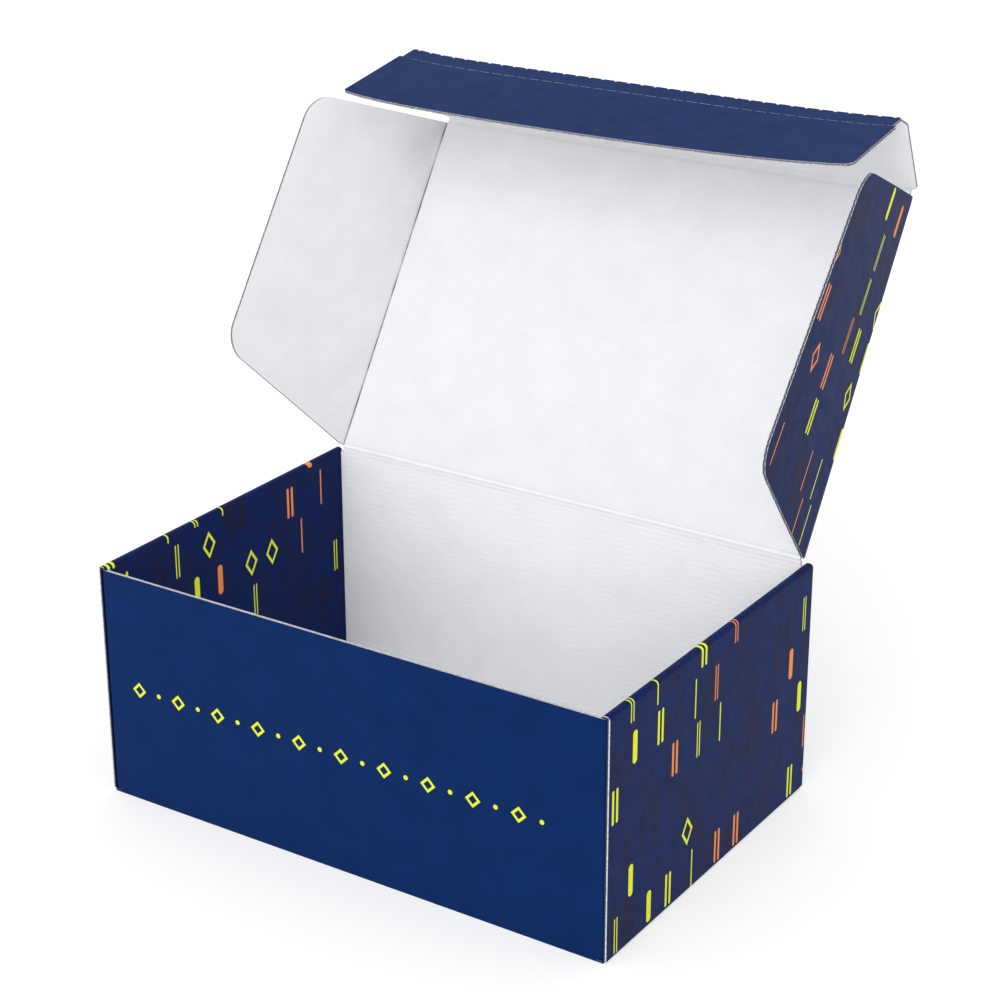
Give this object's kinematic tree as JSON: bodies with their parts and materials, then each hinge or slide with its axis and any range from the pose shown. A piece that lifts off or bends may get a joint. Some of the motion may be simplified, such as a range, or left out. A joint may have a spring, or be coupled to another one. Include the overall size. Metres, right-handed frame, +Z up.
{
  "type": "corrugated mailing box",
  "caption": "Open mailing box of fine-fluted board with rolled-over double side walls, a hinged lid with side ears, and a front flap with a perforated tear strip.",
  "frame": {"origin": "middle of the tray's underside", "axes": "+X to the right as seen from the front, +Y to the hinged back wall, +Z up"},
  "size_m": [0.328, 0.3054, 0.3379],
  "materials": {
    "tray_board": "navy print outside, white liner inside",
    "lid_board": "navy print outside, white liner inside",
    "ear_board": "navy print with orange and lemon marks outside, white liner inside",
    "front_flap_board": "navy print outside, white liner inside",
    "end_flap_board": "navy print outside, white liner inside"
  },
  "bodies": {
    "tray": {"tray": "tray_board"},
    "lid": {"lid": "lid_board"},
    "left_ear": {"left_ear": "ear_board"},
    "right_ear": {"right_ear": "ear_board"},
    "front_flap": {"front_flap": "front_flap_board"},
    "end_flap": {"end_flap": "end_flap_board"}
  },
  "joints": [
    {"name": "lid_hinge", "type": "hinge", "parent": "tray", "child": "lid", "pos_m": [0, 0.09825, 0.1291], "axis": [-1, 0, 0], "range_deg": [-123, 57]},
    {"name": "left_ear_hinge", "type": "hinge", "parent": "lid", "child": "left_ear", "pos_m": [-0.14425, 0.09825, 0.1291], "axis": [0, 0.5446, 0.8387], "range_deg": [-76, 37]},
    {"name": "right_ear_hinge", "type": "hinge", "parent": "lid", "child": "right_ear", "pos_m": [0.14425, 0.09825, 0.1291], "axis": [0, -0.5446, -0.8387], "range_deg": [-82.8, 30.2]},
    {"name": "front_flap_hinge", "type": "hinge", "parent": "lid", "child": "front_flap", "pos_m": [0, 0.20628, 0.29545], "axis": [-1, 0, 0], "range_deg": [-22.4, 67.6]},
    {"name": "end_flap_hinge", "type": "hinge", "parent": "front_flap", "child": "end_flap", "pos_m": [0, 0.17732, 0.33743], "axis": [-1, 0, 0], "range_deg": [-32.3, 67.7]}
  ],
  "couplings": [
    {"joint": "left_ear_hinge", "follows": "lid_hinge", "ratio": -0.3},
    {"joint": "right_ear_hinge", "follows": "lid_hinge", "ratio": -0.17},
    {"joint": "end_flap_hinge", "follows": "lid_hinge", "ratio": -0.55041}
  ]
}
